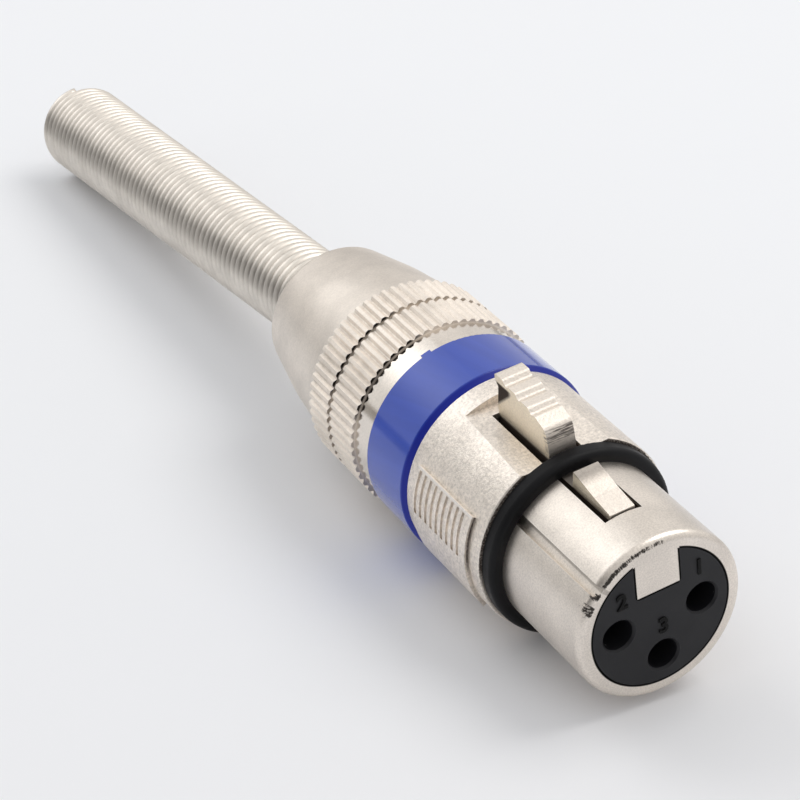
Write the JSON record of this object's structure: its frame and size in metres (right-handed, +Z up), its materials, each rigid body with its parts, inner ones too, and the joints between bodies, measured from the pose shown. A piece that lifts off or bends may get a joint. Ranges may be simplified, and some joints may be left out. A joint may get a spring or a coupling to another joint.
{
  "type": "xlr plug",
  "caption": "Round cable socket with a sprung thumb latch, coloured coding ring, knurled boot and a close-wound spring tail.",
  "frame": {"origin": "centre of the mating face, on the axis of the nose", "axes": "+Y runs back along the body's axis towards the tail, +Z points up through the latch, +X is on the right of somebody who looks at the mating face"},
  "size_m": [0.02, 0.1272, 0.0271],
  "materials": {
    "satin_nickel": "satin nickel plating with a fine grain, some wear at the edges",
    "spring_steel": "bright plated round wire",
    "black_rubber": "matte black",
    "black_moulding": "satin black moulding",
    "blue_plastic": "glossy blue-violet moulding",
    "contact_plating": "plated copper alloy"
  },
  "bodies": {
    "shell": {"front_shell": "satin_nickel", "seal_ring": "black_rubber", "insert": "black_moulding", "contact_1": "contact_plating", "contact_2": "contact_plating", "contact_3": "contact_plating", "ground_lug": "contact_plating", "cable_clamp": "black_moulding", "latch_spring": "spring_steel"},
    "latch": {"latch_lever": "satin_nickel"},
    "coding_ring": {"coding_ring": "blue_plastic"},
    "boot": {"boot": "satin_nickel", "spring_retainer": "spring_steel", "spring_tail": "spring_steel"}
  },
  "joints": [
    {"name": "latch_press", "type": "hinge", "parent": "shell", "child": "latch", "pos_m": [0, 0.026, 0.006], "axis": [1, 0, 0], "range_deg": [0, 5.3], "stiffness_Nm_per_rad": 0.12, "springref_deg": -5.73, "deforming": ["latch_spring"]},
    {"name": "ring_slide", "type": "slide", "parent": "shell", "child": "coding_ring", "axis": [0, 1, 0], "range_m": [0, 0.006]},
    {"name": "boot_turn", "type": "hinge", "parent": "coding_ring", "child": "boot", "pos_m": [0, 0.045, 0], "axis": [0, 1, 0], "range_deg": [0, 1500]}
  ],
  "couplings": [
    {"joint": "boot_turn", "follows": "ring_slide", "rad_per_m": 4188.8}
  ]
}
